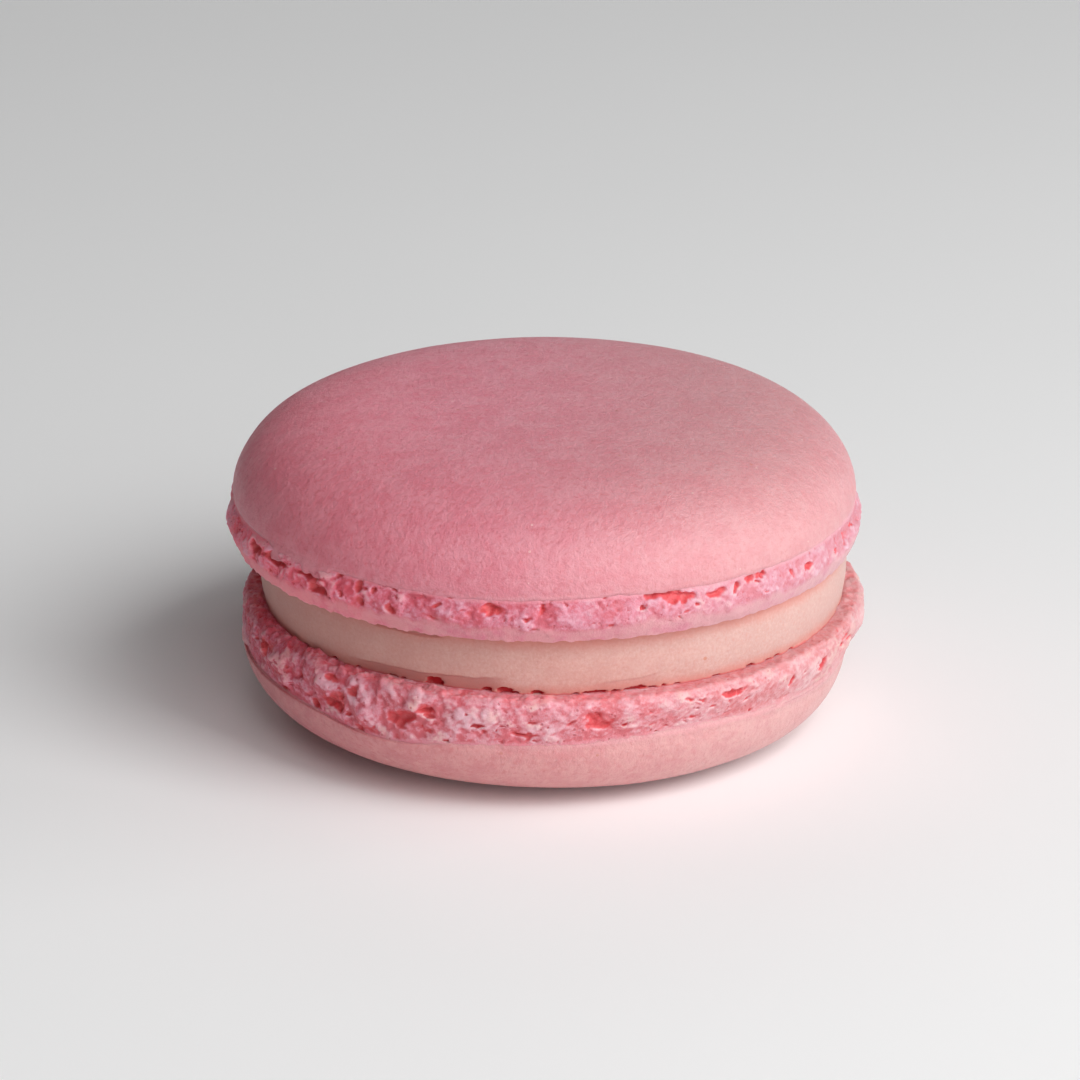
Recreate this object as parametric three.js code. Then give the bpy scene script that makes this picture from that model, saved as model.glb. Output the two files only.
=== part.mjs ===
// A French macaron: two domed almond shells with craggy feet, and a disc of cream between them.
// Units are millimetres and +Z is up. The origin is on the table, under the middle of the macaron.

import * as THREE from 'three';

// Columns of faces round each piece, and the share of the foot's height at each of its rings.
const COLUMNS = 144;
const FOOT_RINGS = [0, 0.14, 0.29, 0.44, 0.59, 0.74, 0.89];
const DOME_RINGS = 9;

// Air left between the cream and each shell, so that the three solids stay apart.
const LAYER_GAP = 0.25;

// The bottom shell stands on a small flat spot and holds the cream on its flat face.
const BOTTOM_SHELL = {
  facing: -1,
  centreX: 0.54,
  rimRadius: 22.6,
  footHeight: 3.5,
  footSwell: 0.22,
  swellShape: 0.5,
  tuckRadius: 22.2,
  edgeRadius: 22.2,
  lipHeight: 0.7,
  widestRadius: 22.25,
  domeHeight: 4.1,
  domeFullness: 12,
  shoulderRoundness: 1.4,
  crownHeight: 0.96,
  innerRing: 0.25,
  flatInside: true,
  edgeShift: -0.39,
  domeShift: -0.65,
  domeLean: 0.5,
  seed: 5,
  edgeWaves: [
    { azimuth: -122, spread: 13, rise: 0.8 },
    { azimuth: -62, spread: 22, rise: -0.65 },
    { azimuth: 35, spread: 20, rise: 0.35 },
    { azimuth: 105, spread: 25, rise: -0.35 },
    { azimuth: 165, spread: 18, rise: 0.3 },
  ],
  hollows: [
    { azimuth: -156, height: 1.3, width: 0.9, rise: 0.7, depth: 0.5 },
    { azimuth: -142, height: 1.4, width: 0.9, rise: 0.8, depth: 0.75 },
    { azimuth: -132, height: 2.4, width: 1.0, rise: 0.5, depth: 0.6 },
    { azimuth: -118, height: 1.8, width: 1.2, rise: 0.6, depth: 0.5 },
    { azimuth: -102, height: 2.6, width: 0.9, rise: 0.5, depth: 0.6 },
    { azimuth: -94, height: 2.6, width: 1.4, rise: 0.5, depth: 0.4 },
    { azimuth: -81, height: 1.9, width: 1.5, rise: 0.8, depth: 0.7 },
    { azimuth: -65, height: 0.9, width: 0.9, rise: 0.5, depth: 0.5 },
    { azimuth: -57, height: 1.0, width: 1.3, rise: 0.6, depth: 0.7 },
    { azimuth: -42, height: 1.7, width: 0.8, rise: 0.8, depth: 0.75 },
    { azimuth: -32, height: 1.8, width: 0.8, rise: 0.7, depth: 0.5 },
  ],
};

// The top shell is the same kind of shell the other way up, with a taller dome.
const TOP_SHELL = {
  facing: 1,
  centreX: -0.06,
  rimRadius: 22.8,
  footHeight: 3.0,
  footSwell: 0.4,
  swellShape: 1,
  tuckRadius: 22.35,
  edgeRadius: 22.45,
  lipHeight: 0.35,
  widestRadius: 22.76,
  domeHeight: 5.5,
  domeFullness: 6.6,
  shoulderRoundness: 1.78,
  crownHeight: 1.0,
  innerRing: 0.2,
  flatInside: false,
  edgeShift: 0,
  domeShift: 0,
  domeLean: 0,
  seed: 11,
  edgeWaves: [
    { azimuth: -142, spread: 14, rise: 0.12 },
    { azimuth: -102, spread: 9, rise: -0.16 },
    { azimuth: -76, spread: 12, rise: 0.12 },
    { azimuth: 20, spread: 24, rise: -0.15 },
    { azimuth: 95, spread: 18, rise: 0.15 },
    { azimuth: 150, spread: 16, rise: -0.12 },
  ],
  hollows: [
    { azimuth: -153, height: 2.3, width: 1.0, rise: 0.6, depth: 0.5 },
    { azimuth: -146, height: 2.1, width: 1.0, rise: 0.6, depth: 0.5 },
    { azimuth: -136, height: 2.3, width: 1.3, rise: 0.5, depth: 0.6 },
    { azimuth: -124, height: 2.6, width: 0.9, rise: 0.6, depth: 0.5 },
    { azimuth: -117, height: 1.5, width: 0.9, rise: 0.6, depth: 0.6 },
    { azimuth: -99, height: 2.4, width: 1.2, rise: 0.6, depth: 0.6 },
    { azimuth: -92, height: 2.1, width: 0.9, rise: 0.5, depth: 0.4 },
    { azimuth: -70, height: 2.7, width: 1.1, rise: 0.5, depth: 0.6 },
    { azimuth: -65, height: 2.5, width: 1.2, rise: 0.6, depth: 0.5 },
    { azimuth: -58, height: 2.5, width: 1.2, rise: 0.6, depth: 0.5 },
    { azimuth: -49, height: 2.7, width: 1.1, rise: 0.5, depth: 0.5 },
    { azimuth: -38, height: 2.0, width: 1.0, rise: 0.6, depth: 0.45 },
  ],
};

// Crags made by chance round both feet: lumps all the way, and hollows from the right side to the left.
// Each pair of numbers is the least and the most, in degrees or in millimetres.
const LUMPS = { count: 44, arc: [-180, 180], width: [0.8, 1.5], rise: [0.6, 1.1], depth: [-0.32, 0.05] };
const PITS = { count: 16, arc: [-24, 190], width: [0.8, 1.5], rise: [0.5, 0.9], depth: [0.35, 0.75] };

// The cream is a disc with slightly bulging sides, set a little to one side. Its layer is the space
// between the flat faces of the two shells.
const CREAM = {
  centreX: 0.54,
  layerHeight: 4.55,
  lowerRadius: 21.3,
  middleRadius: 21.6,
  upperRadius: 21.45,
  cornerRound: 0.18,
  ripple: 0.06,
  waver: 0.04,
};

const SHELL_FINISH = { color: 0xd98490, roughness: 0.5, metalness: 0 };
const CREAM_FINISH = { color: 0xd9ab9c, roughness: 0.6, metalness: 0 };

const { degToRad, lerp } = THREE.MathUtils;

// A repeatable number from 0 to 1 for each index and seed.
function chance(index, seed) {
  const wave = Math.sin(index * 12.9898 + seed * 78.233) * 43758.5453;
  return wave - Math.floor(wave);
}

// The signed angle between two azimuths, in radians, the short way round.
function turnBetween(azimuth, degrees) {
  const turn = azimuth - degToRad(degrees);
  return Math.atan2(Math.sin(turn), Math.cos(turn));
}

function bell(distance) {
  return Math.exp(-distance * distance);
}

// Lumps or pits spread over an arc of the foot, each placed and sized by chance.
function crags({ count, arc, width, rise, depth }, footHeight, seed) {
  return Array.from({ length: count }, (_, index) => ({
    azimuth: lerp(...arc, (index + chance(index, seed)) / count),
    height: footHeight * lerp(0.2, 0.85, chance(index, seed + 1)),
    width: lerp(...width, chance(index, seed + 2)),
    rise: lerp(...rise, chance(index, seed + 3)),
    depth: lerp(...depth, chance(index, seed + 4)),
  }));
}

// The shell's rings from the middle of its flat face, out round the foot and over to the middle of the
// dome. Heights are measured from the flat face. relief is how far the crags move a ring, sway is how
// far it follows the waves of the crust's edge, and shift is how far it sits to one side.
function shellRings(shell) {
  const { edgeShift, domeShift } = shell;
  const rings = [{ radius: 0, height: 0, relief: 0, sway: 0, shift: 0 }];
  for (const share of FOOT_RINGS) {
    const taper = (shell.rimRadius - shell.tuckRadius) * share ** 2;
    const swell = shell.footSwell * Math.sin(Math.PI * share ** shell.swellShape);
    const radius = shell.rimRadius - taper + swell;
    const height = shell.footHeight * share;
    rings.push({ radius, height, relief: Math.min(1, 4 * share), sway: share, shift: edgeShift * share });
  }
  const tuckHeight = shell.footHeight * 0.97;
  rings.push({ radius: shell.tuckRadius, height: tuckHeight, relief: 0.5, sway: 1, shift: edgeShift });
  rings.push({ radius: shell.edgeRadius, height: shell.footHeight, relief: 0, sway: 1, shift: edgeShift });
  for (let step = DOME_RINGS; step > 0; step--) {
    const angle = (Math.PI / 2) * (step / DOME_RINGS) ** 1.5;
    const share = Math.sin(angle) ** (2 / shell.domeFullness);
    const lift = Math.cos(angle) ** (2 / shell.shoulderRoundness);
    const height = domeBase(shell) + shell.domeHeight * lift + shell.crownHeight * (1 - share ** 2);
    const radius = shell.widestRadius * share;
    rings.push({ radius, height, relief: 0, sway: 0.6 * (1 - lift) ** 2, shift: domeShift });
  }
  const innerRadius = shell.widestRadius * shell.innerRing;
  rings.push({ radius: innerRadius, height: innerRingHeight(shell), relief: 0, sway: 0, shift: domeShift });
  rings.push({ radius: 0, height: shellThickness(shell), relief: 0, sway: 0, shift: domeShift });
  return rings;
}

function domeBase(shell) {
  return shell.footHeight + shell.lipHeight;
}

function innerRingHeight(shell) {
  return domeBase(shell) + shell.domeHeight + shell.crownHeight * (1 - shell.innerRing ** 2);
}

// From the flat face to the middle of the dome, which is flat inside its inner ring or goes on rising.
function shellThickness(shell) {
  return shell.flatInside ? innerRingHeight(shell) : domeBase(shell) + shell.domeHeight + shell.crownHeight;
}

// How far the waves of the crust's edge carry it away from the flat face at an azimuth.
function edgeWave(shell, azimuth) {
  return shell.edgeWaves.reduce((sum, wave) => {
    return sum + wave.rise * bell(turnBetween(azimuth, wave.azimuth) / degToRad(wave.spread));
  }, 0);
}

// How deep the hollows and crags cut the foot at an azimuth and a height above the flat face.
function cragDepth(shell, spots, azimuth, height) {
  return spots.reduce((sum, spot) => {
    const across = (turnBetween(azimuth, spot.azimuth) * shell.rimRadius) / spot.width;
    return sum + spot.depth * bell(Math.hypot(across, (height - spot.height) / spot.rise));
  }, 0);
}

// The dome leans sideways, most at its widest ring and not at all inside its inner ring.
function leanHeight(shell, ring, azimuth) {
  const share = ring.radius / shell.widestRadius;
  const outward = Math.max(0, (share - shell.innerRing) / (1 - shell.innerRing));
  return shell.domeLean * outward * Math.cos(azimuth);
}

// A shell is a lathed solid whose rings are then moved: in and out by the crags of the foot, up and down
// by the waves of the crust's edge and the lean of the dome, and to one side where the dome sits off
// the middle of its foot.
function shellGeometry(shell) {
  const rings = shellRings(shell);
  if (shell.facing < 0) rings.reverse();
  const outline = rings.map((ring) => new THREE.Vector2(ring.radius, shell.facing * ring.height));
  const geometry = new THREE.LatheGeometry(outline, COLUMNS);
  const lumps = crags(LUMPS, shell.footHeight, shell.seed);
  const pits = crags(PITS, shell.footHeight, shell.seed + 20);
  const spots = [...shell.hollows, ...lumps, ...pits];
  moveRings(geometry, rings, (ring, azimuth) => {
    const inDome = ring.height > shell.footHeight;
    const rise = ring.sway * edgeWave(shell, azimuth) + (inDome ? leanHeight(shell, ring, azimuth) : 0);
    return {
      radius: ring.radius - ring.relief * cragDepth(shell, spots, azimuth, ring.height),
      height: shell.facing * (ring.height + rise),
      shift: ring.shift,
    };
  });
  return geometry;
}

// Puts each vertex of a lathed solid where the place function says, with the solid's axis along +Z.
function moveRings(geometry, rings, place) {
  const { position } = geometry.attributes;
  for (let column = 0; column <= COLUMNS; column++) {
    const azimuth = 2 * Math.PI * (column / COLUMNS - 0.25);
    rings.forEach((ring, row) => {
      const { radius, height, shift } = place(ring, azimuth);
      const index = column * rings.length + row;
      position.setXYZ(index, radius * Math.cos(azimuth) + shift, radius * Math.sin(azimuth), height);
    });
  }
  geometry.computeVertexNormals();
}

// The cream's outline has rounded corners top and bottom, and its side ripples slightly round the disc.
function creamGeometry(height) {
  const { lowerRadius, middleRadius, upperRadius, cornerRound } = CREAM;
  const outline = [
    new THREE.Vector2(0, 0),
    new THREE.Vector2(lowerRadius - cornerRound, 0),
    new THREE.Vector2(lowerRadius, cornerRound),
    new THREE.Vector2(middleRadius, height * 0.4),
    new THREE.Vector2(middleRadius, height * 0.65),
    new THREE.Vector2(upperRadius, height - cornerRound),
    new THREE.Vector2(upperRadius - cornerRound, height),
    new THREE.Vector2(0, height),
  ];
  const geometry = new THREE.LatheGeometry(outline, COLUMNS);
  moveRings(geometry, outline, (point, azimuth) => {
    const ripple = CREAM.ripple * Math.cos(3 * azimuth + 1) + CREAM.waver * Math.sin(7 * azimuth);
    return { radius: point.x * (1 + ripple / middleRadius), height: point.y, shift: 0 };
  });
  return geometry;
}

// Each piece stands at its own height, a little to one side of the middle.
function placed(name, geometry, material, centreX, height) {
  const mesh = new THREE.Mesh(geometry, new THREE.MeshStandardMaterial(material));
  mesh.name = name;
  mesh.position.set(centreX, 0, height);
  return mesh;
}

const bottomFace = shellThickness(BOTTOM_SHELL);
const topFace = bottomFace + CREAM.layerHeight;
const cream = creamGeometry(CREAM.layerHeight - 2 * LAYER_GAP);

const lowerShell = shellGeometry(BOTTOM_SHELL);
const upperShell = shellGeometry(TOP_SHELL);

const macaron = new THREE.Group();
macaron.add(placed('bottom_shell', lowerShell, SHELL_FINISH, BOTTOM_SHELL.centreX, bottomFace));
macaron.add(placed('filling', cream, CREAM_FINISH, CREAM.centreX, bottomFace + LAYER_GAP));
macaron.add(placed('top_shell', upperShell, SHELL_FINISH, TOP_SHELL.centreX, topFace));

export default macaron;
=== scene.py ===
"""A French macaron: satin pink shells with craggy feet, and pale cream between them, on a pale table.

Lengths are millimetres until a mesh is made, and +Z is up. Azimuth is the angle round the middle from
+X towards +Y, so -90 degrees is the front. Named azimuths are in degrees, and arrays in radians.
"""

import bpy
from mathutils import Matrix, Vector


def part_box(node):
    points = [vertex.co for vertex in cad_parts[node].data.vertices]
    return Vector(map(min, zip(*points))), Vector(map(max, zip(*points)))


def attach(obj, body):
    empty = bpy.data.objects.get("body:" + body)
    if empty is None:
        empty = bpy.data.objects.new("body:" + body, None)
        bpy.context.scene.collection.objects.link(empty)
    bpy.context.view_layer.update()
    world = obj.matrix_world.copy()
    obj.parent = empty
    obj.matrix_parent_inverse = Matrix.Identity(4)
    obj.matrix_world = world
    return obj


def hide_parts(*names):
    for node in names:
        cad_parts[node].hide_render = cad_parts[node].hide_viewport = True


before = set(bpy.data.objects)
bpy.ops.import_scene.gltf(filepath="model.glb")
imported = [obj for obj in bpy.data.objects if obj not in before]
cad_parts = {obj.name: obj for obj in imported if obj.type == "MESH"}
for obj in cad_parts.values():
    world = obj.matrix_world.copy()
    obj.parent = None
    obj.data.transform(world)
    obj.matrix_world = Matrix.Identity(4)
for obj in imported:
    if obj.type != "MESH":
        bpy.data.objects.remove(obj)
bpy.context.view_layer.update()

from types import SimpleNamespace

import bpy
import numpy as np
from mathutils import Vector

MM = 0.001

# ---------------------------------------------------------------------------------------------
# Driving dimensions. Heights inside a shell are measured from the flat face that the cream touches.
#
# facing            1 where the dome is above the flat face, -1 where it is below
# centre_x          the middle of the foot
# shift, lean       how far the dome's middle is moved along X, and how much its height grows on that side
# rim, rim_round    the foot's radius at the flat face, and the rounding of that corner
# foot, tuck        the foot's height, and its radius where it meets the crust
# swell, swell_at   how far the wall bulges, and the power that moves the bulge up or down
# flare, dive       how far the wall comes out just under the crust, and goes back inside it
# band, blend       shares of the foot's height: where the crags start, and where they are gone and whole
# calm              weaker crags round an azimuth, or stronger where the share is negative: azimuth,
#                   spread in degrees, share
# edge, widest      the crust's radius at its edge and at its widest ring
# lip, dome         how high the widest ring is over the edge, and the shoulder over that
# fullness          the power of the radius that keeps the dome broad
# shoulder          the root that rounds the dome's shoulder
# flat_share        the radius of the flat spot that the part stands on, as a share of the widest
# flap              a torn flap of crust: azimuths of its ends, how far it hangs and how far it stands out.
#                   With no hang it is only a pinch of crumbs.
# waves             of the crust's edge: azimuth, spread in degrees, and rise away from the flat face
# bulges, hollows   of the foot: azimuth, height, width, rise, and how far out or how deep
# seed              the first of the shell's seeds
# ---------------------------------------------------------------------------------------------

CRUST_COLUMNS = 720
FOOT_COLUMNS = 1400
CREAM_COLUMNS = 900

TOP_SHELL = SimpleNamespace(
    node="top_shell", facing=1, centre_x=-0.06, shift=0.0, lean=0.0, seed=11,
    rim=22.8, rim_round=0.1, foot=3.0, tuck=22.74, swell=0.4, swell_at=1.0, flare=0.02, dive=0.08,
    band=0.26, blend=(1.0, 0.87), calm=[(-70, 45, 0.42), (-150, 30, -0.4)],
    edge=22.74, widest=22.77, lip=0.35, dome=5.5, fullness=6.6, shoulder=1.78, flat_share=0.0,
    flap=SimpleNamespace(start=-148, end=-131.5, hang=0.75, out=0.3),
    waves=[
        (-142, 14, 0.12), (-102, 9, -0.16), (-76, 12, 0.12), (20, 24, -0.15), (95, 18, 0.15),
        (150, 16, -0.12),
    ],
    bulges=[],
    hollows=[
        (-153, 2.2, 1.1, 0.4, 0.5), (-146, 2.2, 1.5, 0.35, 0.6), (-137, 2.15, 1.7, 0.3, 0.75),
        (-132.5, 1.3, 0.9, 0.5, 0.3), (-129.5, 3.0, 1.0, 0.2, 0.4), (-124.5, 2.6, 0.6, 0.5, 0.5),
        (-123.5, 1.3, 0.35, 0.5, 0.4), (-121, 2.4, 0.35, 0.3, 0.3), (-118, 2.95, 0.6, 0.15, 0.4),
        (-117, 1.5, 0.6, 0.5, 0.6), (-111.3, 2.95, 0.4, 0.2, 0.5), (-109.5, 1.5, 0.9, 0.25, 0.25),
        (-106.5, 3.0, 0.5, 0.14, 0.4), (-99, 2.4, 1.1, 0.55, 0.6), (-95.8, 1.7, 0.3, 0.3, 0.45),
        (-92.5, 1.95, 0.5, 0.15, 0.45), (-90.7, 2.4, 0.25, 0.35, 0.35), (-88, 2.0, 0.35, 0.12, 0.3),
        (-79.8, 3.1, 0.45, 0.25, 0.5), (-70, 2.9, 1.0, 0.35, 0.6), (-66, 2.5, 1.2, 0.45, 0.5),
        (-58.5, 2.5, 1.1, 0.45, 0.5), (-54.5, 2.3, 0.3, 0.2, 0.35), (-49.5, 2.9, 1.1, 0.35, 0.5),
        (-41, 1.9, 0.5, 0.5, 0.4), (-36, 2.1, 0.7, 0.4, 0.45), (-26, 1.7, 0.4, 0.3, 0.35),
    ],
)
BOTTOM_SHELL = SimpleNamespace(
    node="bottom_shell", facing=-1, centre_x=0.54, shift=-0.65, lean=0.5, seed=5,
    rim=22.6, rim_round=0.3, foot=3.5, tuck=22.24, swell=0.22, swell_at=0.5, flare=0.04, dive=0.04,
    band=-0.2, blend=(1.0, 0.87), calm=[(-62, 48, 0.5), (-142, 32, -0.9)],
    edge=22.27, widest=22.27, lip=0.7, dome=4.1, fullness=12, shoulder=1.4, flat_share=0.25,
    flap=SimpleNamespace(start=0, end=1, hang=0, out=0),
    waves=[(-122, 13, 0.8), (-62, 22, -0.65), (35, 20, 0.35), (105, 25, -0.35), (165, 18, 0.3)],
    bulges=[
        (-3, 1.7, 4.0, 1.2, 0.45), (-76, 2.55, 0.6, 0.2, 0.3), (-149, 1.6, 1.3, 0.9, 0.25),
        (-135, 1.2, 1.5, 0.8, 0.25), (-125.5, 2.2, 0.9, 0.6, 0.25),
    ],
    hollows=[
        (-156.5, 1.3, 0.7, 0.6, 0.5), (-147.5, 3.2, 0.8, 0.25, 0.3), (-142, 1.4, 0.7, 0.7, 0.75),
        (-138.5, 3.1, 0.6, 0.25, 0.3), (-132.5, 2.4, 0.9, 0.35, 0.65), (-117.5, 1.8, 1.2, 0.45, 0.5),
        (-112.5, 1.35, 0.5, 0.2, 0.4), (-102, 2.6, 0.5, 0.35, 0.7), (-94.5, 2.65, 1.4, 0.3, 0.1),
        (-93, 1.7, 0.5, 0.15, 0.4), (-86.5, 1.75, 0.4, 0.15, 0.45), (-81, 1.9, 1.4, 0.7, 0.7),
        (-73, 2.4, 2.0, 0.26, 0.05), (-72, 1.3, 0.5, 0.25, 0.55), (-65.3, 0.85, 0.8, 0.25, 0.55),
        (-64, 2.5, 0.8, 0.25, 0.3), (-56.7, 1.0, 1.2, 0.45, 0.75), (-41.7, 1.7, 0.4, 0.7, 0.8),
        (-31.5, 1.8, 0.5, 0.6, 0.5),
    ],
)

# The cream: the radii of its side, its rounded corners, and how far it sinks into both shells.
CREAM = SimpleNamespace(centre_x=0.54, lower=21.3, middle=21.6, upper=21.45, corner=0.1, sunk=0.12)

# Crags made by chance, as in the solids: count, then the least and the most of the arc in degrees,
# width, rise and depth.
LUMPS = (44, (-180, 180), (0.8, 1.5), (0.6, 1.1), (-0.32, 0.05))
PITS = (16, (-24, 190), (0.8, 1.5), (0.5, 0.9), (0.35, 0.75))

# Air bubbles cut open in the foot: how many, and the least and the most of their radius.
BUBBLES = [(50, 0.1, 0.18), (300, 0.05, 0.1)]

# The main light's azimuth. The crumb is also coloured by which way its crags face from there.
KEY_AZIMUTH = -35


# ---------------------------------------------------------------------------------------------
# Chance and noise
# ---------------------------------------------------------------------------------------------

def chance(index, seed):
    """Repeatable numbers from 0 to 1: the fraction of a large sine of the index and the seed."""
    wave = np.sin(index * 12.9898 + seed * 78.233) * 43758.5453
    return wave - np.floor(wave)


def smooth(low, high, value):
    """The smooth step 3t^2 - 2t^3, where t runs from 0 at low to 1 at high."""
    t = np.clip((value - low) / (high - low), 0, 1)
    return t * t * (3 - 2 * t)


def noise(points, size, seed):
    """Smooth noise from -1 to 1: a chance value at each corner of cubes of the given size, blended
    across each cube by the smooth step of the three offsets."""
    scaled = points / size
    corner = np.floor(scaled)
    blend = smooth(0, 1, scaled - corner)
    total = 0
    for step in np.ndindex(2, 2, 2):
        weight = np.prod(np.where(step, blend, 1 - blend), axis=-1)
        cell = corner + step
        key = cell[..., 0] + 57.31 * cell[..., 1] + 113.17 * cell[..., 2]
        total = total + weight * chance(key, seed)
    return 2 * total - 1


def heads(points, size, seed):
    """Round heads with creases between them: 1 - d^2, where d is the distance to the nearest of points
    scattered one to each cube, counted in cubes of the given size."""
    scaled = points / size
    corner = np.floor(scaled)
    nearest = np.full(scaled.shape[:-1], 4.0)
    for step in np.ndindex(3, 3, 3):
        cell = corner + step - 1
        key = cell[..., 0] + 57.31 * cell[..., 1] + 113.17 * cell[..., 2]
        spot = cell + np.stack([chance(key, seed + shift) for shift in (0.0, 0.37, 0.71)], axis=-1)
        nearest = np.minimum(nearest, ((spot - scaled) ** 2).sum(axis=-1))
    return 1 - nearest


def bell(distance):
    """exp(-d^2): 1 in the middle and nearly 0 beyond 2."""
    return np.exp(-distance * distance)


def turn_from(azimuth, degrees):
    """The signed angle from an azimuth in degrees, the short way round, in radians."""
    turn = azimuth - np.radians(degrees)
    return np.arctan2(np.sin(turn), np.cos(turn))


# ---------------------------------------------------------------------------------------------
# Meshes
# ---------------------------------------------------------------------------------------------

def ring_mesh(name, rings, **attributes):
    """A closed surface from rings of points, lowest first and each anticlockwise seen from above: quads
    between neighbouring rings, and at both ends a fan of triangles to the end ring's mean point."""
    rows, columns, _ = rings.shape
    poles = rings[[0, -1]].mean(axis=1)
    points = np.concatenate([rings.reshape(-1, 3), poles]) * MM
    this = np.arange(columns)
    after = (this + 1) % columns
    start = np.arange(rows - 1)[:, None] * columns
    quads = np.stack([start + this, start + after, start + after + columns, start + this + columns], axis=-1)
    low_pole = np.full(columns, rows * columns)
    last = (rows - 1) * columns
    fans = np.concatenate([
        np.stack([low_pole, after, this], axis=-1),
        np.stack([low_pole + 1, last + this, last + after], axis=-1),
    ])
    mesh = bpy.data.meshes.new(name)
    mesh.vertices.add(len(points))
    mesh.vertices.foreach_set("co", points.astype(np.float32).ravel())
    corners = np.concatenate([quads.ravel(), fans.ravel()]).astype(np.int32)
    counts = np.concatenate([np.full(quads.size // 4, 4), np.full(len(fans), 3)])
    mesh.loops.add(len(corners))
    mesh.loops.foreach_set("vertex_index", corners)
    mesh.polygons.add(len(counts))
    mesh.polygons.foreach_set("loop_start", (np.cumsum(counts) - counts).astype(np.int32))
    mesh.polygons.foreach_set("use_smooth", np.ones(len(counts), bool))
    for key, values in attributes.items():
        layer = mesh.attributes.new(key, "FLOAT", "POINT")
        ends = values[[0, -1]].mean(axis=1)
        layer.data.foreach_set("value", np.concatenate([values.ravel(), ends]).astype(np.float32))
    mesh.update(calc_edges=True)
    mesh.validate()
    piece = bpy.data.objects.new(name, mesh)
    bpy.context.scene.collection.objects.link(piece)
    return piece


def round_angles(columns):
    """One azimuth for each column, starting at the front."""
    return 2 * np.pi * (np.arange(columns) / columns - 0.25)


def face_height(shell):
    """The height of the shell's flat face above the table, from its solid."""
    low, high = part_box(shell.node)
    return (low.z if shell.facing > 0 else high.z) / MM


def circles(radius, height, azimuth):
    """Points on circles round the middle: x = r cos a, y = r sin a, z = height."""
    return np.stack(np.broadcast_arrays(radius * np.cos(azimuth), radius * np.sin(azimuth), height), axis=-1)


def in_place(shell, radius, height, azimuth, shift):
    """Rings of points from radii and heights inside the shell, on circles round the foot's middle and
    moved along X. Heights count up or down from the face, and the lowest ring is put first."""
    rings = circles(radius, face_height(shell) + shell.facing * height, azimuth)
    rings[..., 0] += shell.centre_x + shift
    return rings[:: shell.facing]


def edge_wave(shell, azimuth):
    """How far the crust's edge leaves its mean height: a sum of bells round the edge."""
    return sum(
        rise * bell(turn_from(azimuth, middle) / np.radians(spread)) for middle, spread, rise in shell.waves)


# ---------------------------------------------------------------------------------------------
# The crust
# ---------------------------------------------------------------------------------------------

# How many rings the crust's edge, side, shoulder and middle have.
CURL_RINGS = 6
SIDE_RINGS = 11
SHOULDER_RINGS = 68
CROWN_RINGS = 29

# The rounding of the crust's edge, and how high over it the fraying reaches.
EDGE_ROUND = 0.04
FRAY_HEIGHT = 0.22

# The fine bead along the crust's edge: its height over the edge, its spread and how far it stands out.
BEAD_HEIGHT = 0.22
BEAD_SPREAD = 0.13
BEAD_OUT = 0.02

# The share of the dome's shift along X that its edge and the foot's rings beside it make.
EDGE_SHIFT = 0.6


def dome_lift(shell, share):
    """The dome's height over its base at a share of its widest radius: (1 - s^fullness)^(1/shoulder)
    for the shoulder, and crown (1 - s^2) for the gentle rise in the middle."""
    low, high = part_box(shell.node)
    thickness = (high.z - low.z) / MM
    top = thickness - shell.foot - shell.lip - shell.dome
    crown = top / (1 - shell.flat_share ** 2)
    flat = np.maximum(share, shell.flat_share)
    shoulder = (1 - share ** shell.fullness) ** (1 / shell.shoulder)
    return shell.dome * shoulder + crown * (1 - flat ** 2), shoulder


def crust_profile(shell):
    """The crust's smooth outline: a hidden underside, a small round edge, a side that curves out to the
    widest ring as a parabola, and the dome. For each ring, as a column: its radius, its height over the
    foot, and how much it follows the edge's waves, its fraying and its torn flap."""
    curl = np.radians(np.linspace(-90, 0, CURL_RINGS))
    side = np.linspace(0, 1, SIDE_RINGS + 1)[1:]
    angle = np.linspace(np.pi / 2, 0, SHOULDER_RINGS + 2)[1:-1]
    shares = np.sin(angle) ** (2 / shell.fullness)
    shares = np.concatenate([shares, np.linspace(shares[-1], 0.01, CROWN_RINGS + 1)[1:]])
    lift, shoulder = dome_lift(shell, shares)
    radius = np.concatenate([
        [0.6 * shell.tuck, shell.tuck - 0.6, shell.edge - 0.4],
        shell.edge - EDGE_ROUND + EDGE_ROUND * np.cos(curl),
        shell.edge + (shell.widest - shell.edge) * (1 - (1 - side) ** 2),
        shell.widest * shares,
    ])
    height = np.concatenate([
        [0.45, 0.35, 0.08],
        EDGE_ROUND + EDGE_ROUND * np.sin(curl),
        EDGE_ROUND + (shell.lip - EDGE_ROUND) * side,
        shell.lip + lift,
    ])
    sway = np.concatenate([[0.2, 0.6, 1], np.ones_like(curl), 1 - 0.4 * side, 0.6 * (1 - shoulder) ** 2])
    fray = bell(np.maximum(height - EDGE_ROUND, 0) / FRAY_HEIGHT)
    fray[:2] *= (0, 0.3)
    hang = np.concatenate([np.ones(3), np.ones_like(curl), 1 - side, 0 * shares])
    return (column[:, None] for column in (radius, height, sway, fray, hang))


def frayed_edge(shell, arc):
    """How ragged the edge is, and how far it strays in height: three sizes of noise, of which the finer
    two grow where it is ragged."""
    ragged = 0.7 * smooth(-0.1, 0.6, noise(arc, 9.0, shell.seed + 3))
    stray = 0.05 * noise(arc, 2.4, shell.seed + 4)
    stray = stray + (0.02 + 0.06 * ragged) * noise(arc, 0.85, shell.seed + 5)
    return ragged, stray + (0.02 + 0.05 * ragged) * noise(arc, 0.33, shell.seed + 6)


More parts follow.
